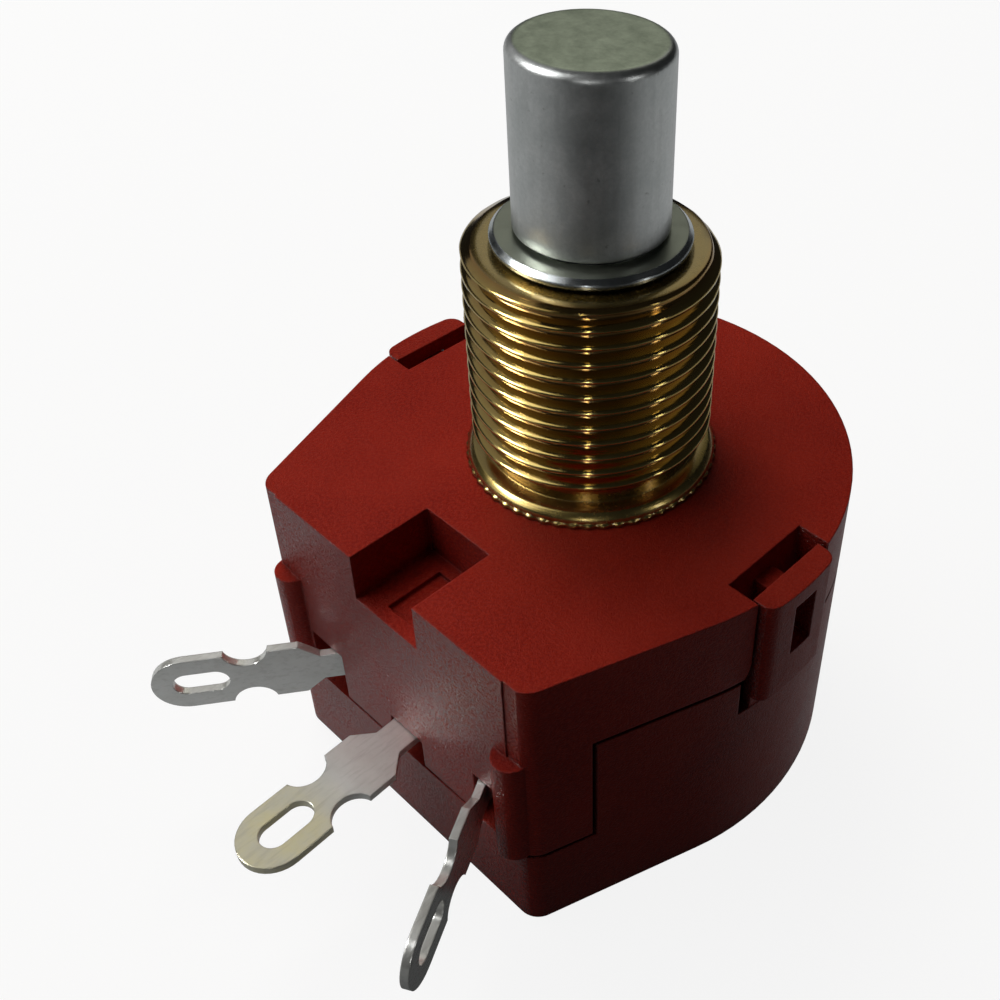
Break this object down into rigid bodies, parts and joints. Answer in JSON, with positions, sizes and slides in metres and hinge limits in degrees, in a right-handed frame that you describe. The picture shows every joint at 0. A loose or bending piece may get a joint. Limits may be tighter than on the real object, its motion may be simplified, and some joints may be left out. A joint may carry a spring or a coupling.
{
  "type": "rotary potentiometer",
  "caption": "Panel-mounting rotary potentiometer with a plain round shaft, threaded brass bushing, snap-together moulded case and solder lugs.",
  "frame": {"origin": "on the shaft axis in the front face of the housing, from which the bushing stands", "axes": "+Z runs out along the shaft and the bushing; the solder lugs leave the flat side towards -Y; +X completes a right-handed frame"},
  "size_m": [0.0234, 0.0303, 0.0329],
  "materials": {
    "shaft_steel": "satin turned",
    "ring_steel": "satin stamped",
    "bushing_brass": "bright turned",
    "case_plastic": "moulded, semi-matte",
    "base_plastic": "moulded, semi-matte",
    "washer_steel": "stamped",
    "rotor_plastic": "moulded",
    "spring_brass": "rolled sheet",
    "board_laminate": "laminate",
    "carbon_print": "printed carbon",
    "silver_print": "printed conductor",
    "lug_tin": "tinned"
  },
  "bodies": {
    "case": {"front_housing": "case_plastic", "rear_base": "base_plastic", "bushing": "bushing_brass", "thrust_washer": "washer_steel", "element_board": "board_laminate", "resistive_track": "carbon_print", "collector_ring": "silver_print", "track_end_pads": "silver_print", "terminal_left": "lug_tin", "terminal_middle": "lug_tin", "terminal_right": "lug_tin", "terminal_rivets": "lug_tin"},
    "spindle": {"shaft": "shaft_steel", "retaining_ring": "ring_steel", "rotor": "rotor_plastic", "stake_washer": "washer_steel", "wiper_spring": "spring_brass"}
  },
  "joints": [
    {"name": "shaft_turn", "type": "hinge", "parent": "case", "child": "spindle", "pos_m": [0, 0, 0], "axis": [0, 0, 1], "range_deg": [-150, 150]}
  ]
}
